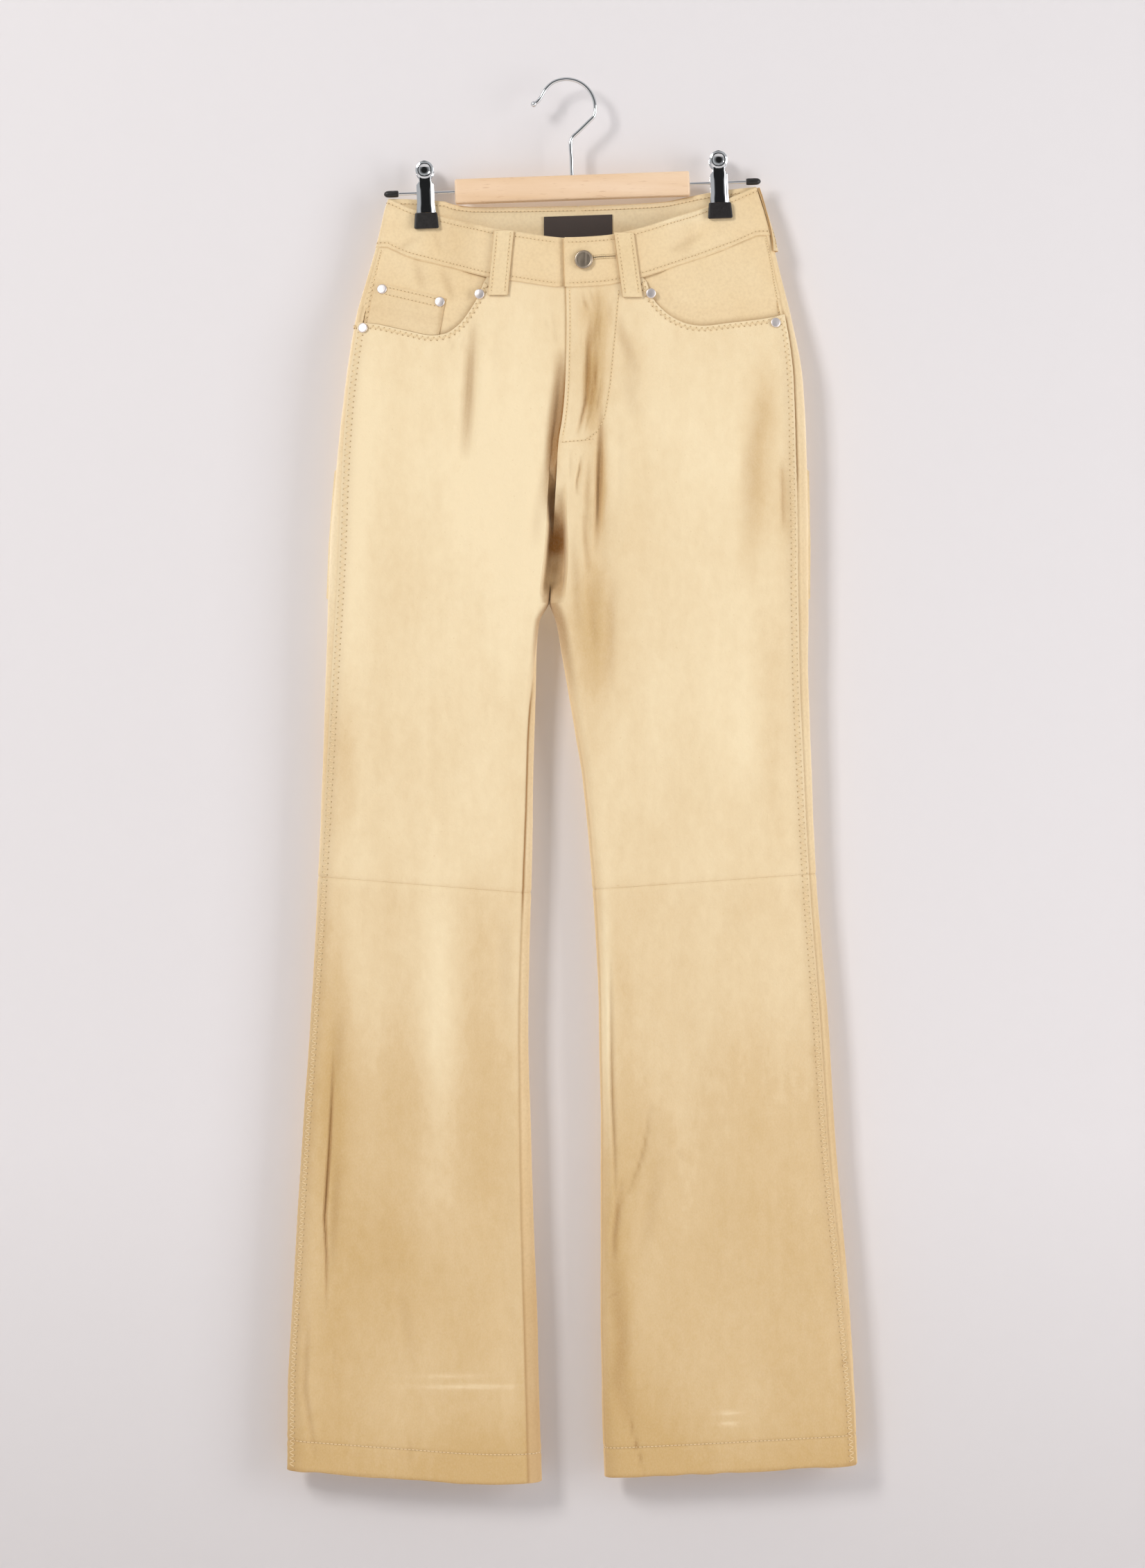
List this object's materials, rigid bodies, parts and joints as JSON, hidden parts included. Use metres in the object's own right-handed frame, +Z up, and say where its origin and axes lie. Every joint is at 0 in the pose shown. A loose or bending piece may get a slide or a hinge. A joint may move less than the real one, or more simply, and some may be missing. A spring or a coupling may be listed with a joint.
{
  "type": "flare pants on a wooden clip hanger",
  "caption": "Soft tan leather flare pants with knee seams, curved pockets and wide belt loops, clipped flat by the waistband to a wooden clip hanger with a chrome hook.",
  "frame": {"origin": "the inside top of the hanger's hook, where a rail or a wall hook carries it", "axes": "+Z up, the long way of the garment; -Y out of the front of the pants; +X to the right seen from the front"},
  "size_m": [0.4836, 0.0399, 1.1918],
  "materials": {
    "front_leather": "soft brushed suede-like leather, matt",
    "smooth_leather": "smooth leather, low sheen",
    "strap_leather": "raw-edged smooth leather straps",
    "label_cloth": "plain dark woven tape",
    "button_nickel": "brushed nickel",
    "rivet_silver": "bright",
    "chrome": "polished",
    "beech": "satin varnish over light beech",
    "black_rubber": "semi-gloss"
  },
  "bodies": {
    "root": {"front_upper_left": "front_leather", "front_upper_right": "front_leather", "front_lower_left": "front_leather", "front_lower_right": "front_leather", "back_upper_left": "smooth_leather", "back_upper_right": "smooth_leather", "back_lower_left": "smooth_leather", "back_lower_right": "smooth_leather", "waistband_left": "smooth_leather", "waistband_right": "smooth_leather", "pocket_facing_left": "smooth_leather", "pocket_facing_right": "smooth_leather", "coin_pocket": "smooth_leather", "belt_loop_front_left": "strap_leather", "belt_loop_front_right": "strap_leather", "belt_loop_side_left": "strap_leather", "belt_loop_side_right": "strap_leather", "belt_loop_back": "strap_leather", "label": "label_cloth", "button": "button_nickel", "rivet_mouth_left": "rivet_silver", "rivet_side_left": "rivet_silver", "rivet_coin_inner": "rivet_silver", "rivet_coin_outer": "rivet_silver", "rivet_mouth_right": "rivet_silver", "rivet_side_right": "rivet_silver", "hook": "chrome", "bar": "beech", "rod_left": "chrome", "rod_right": "chrome", "end_cap_left": "black_rubber", "end_cap_right": "black_rubber", "clip_jaw_front_left": "black_rubber", "clip_jaw_back_left": "black_rubber", "clip_jaw_front_right": "black_rubber", "clip_jaw_back_right": "black_rubber", "clip_plate_front_left": "chrome", "clip_plate_back_left": "chrome", "clip_plate_front_right": "chrome", "clip_plate_back_right": "chrome", "clip_sleeve_left": "chrome", "clip_sleeve_right": "chrome"}
  },
  "joints": []
}
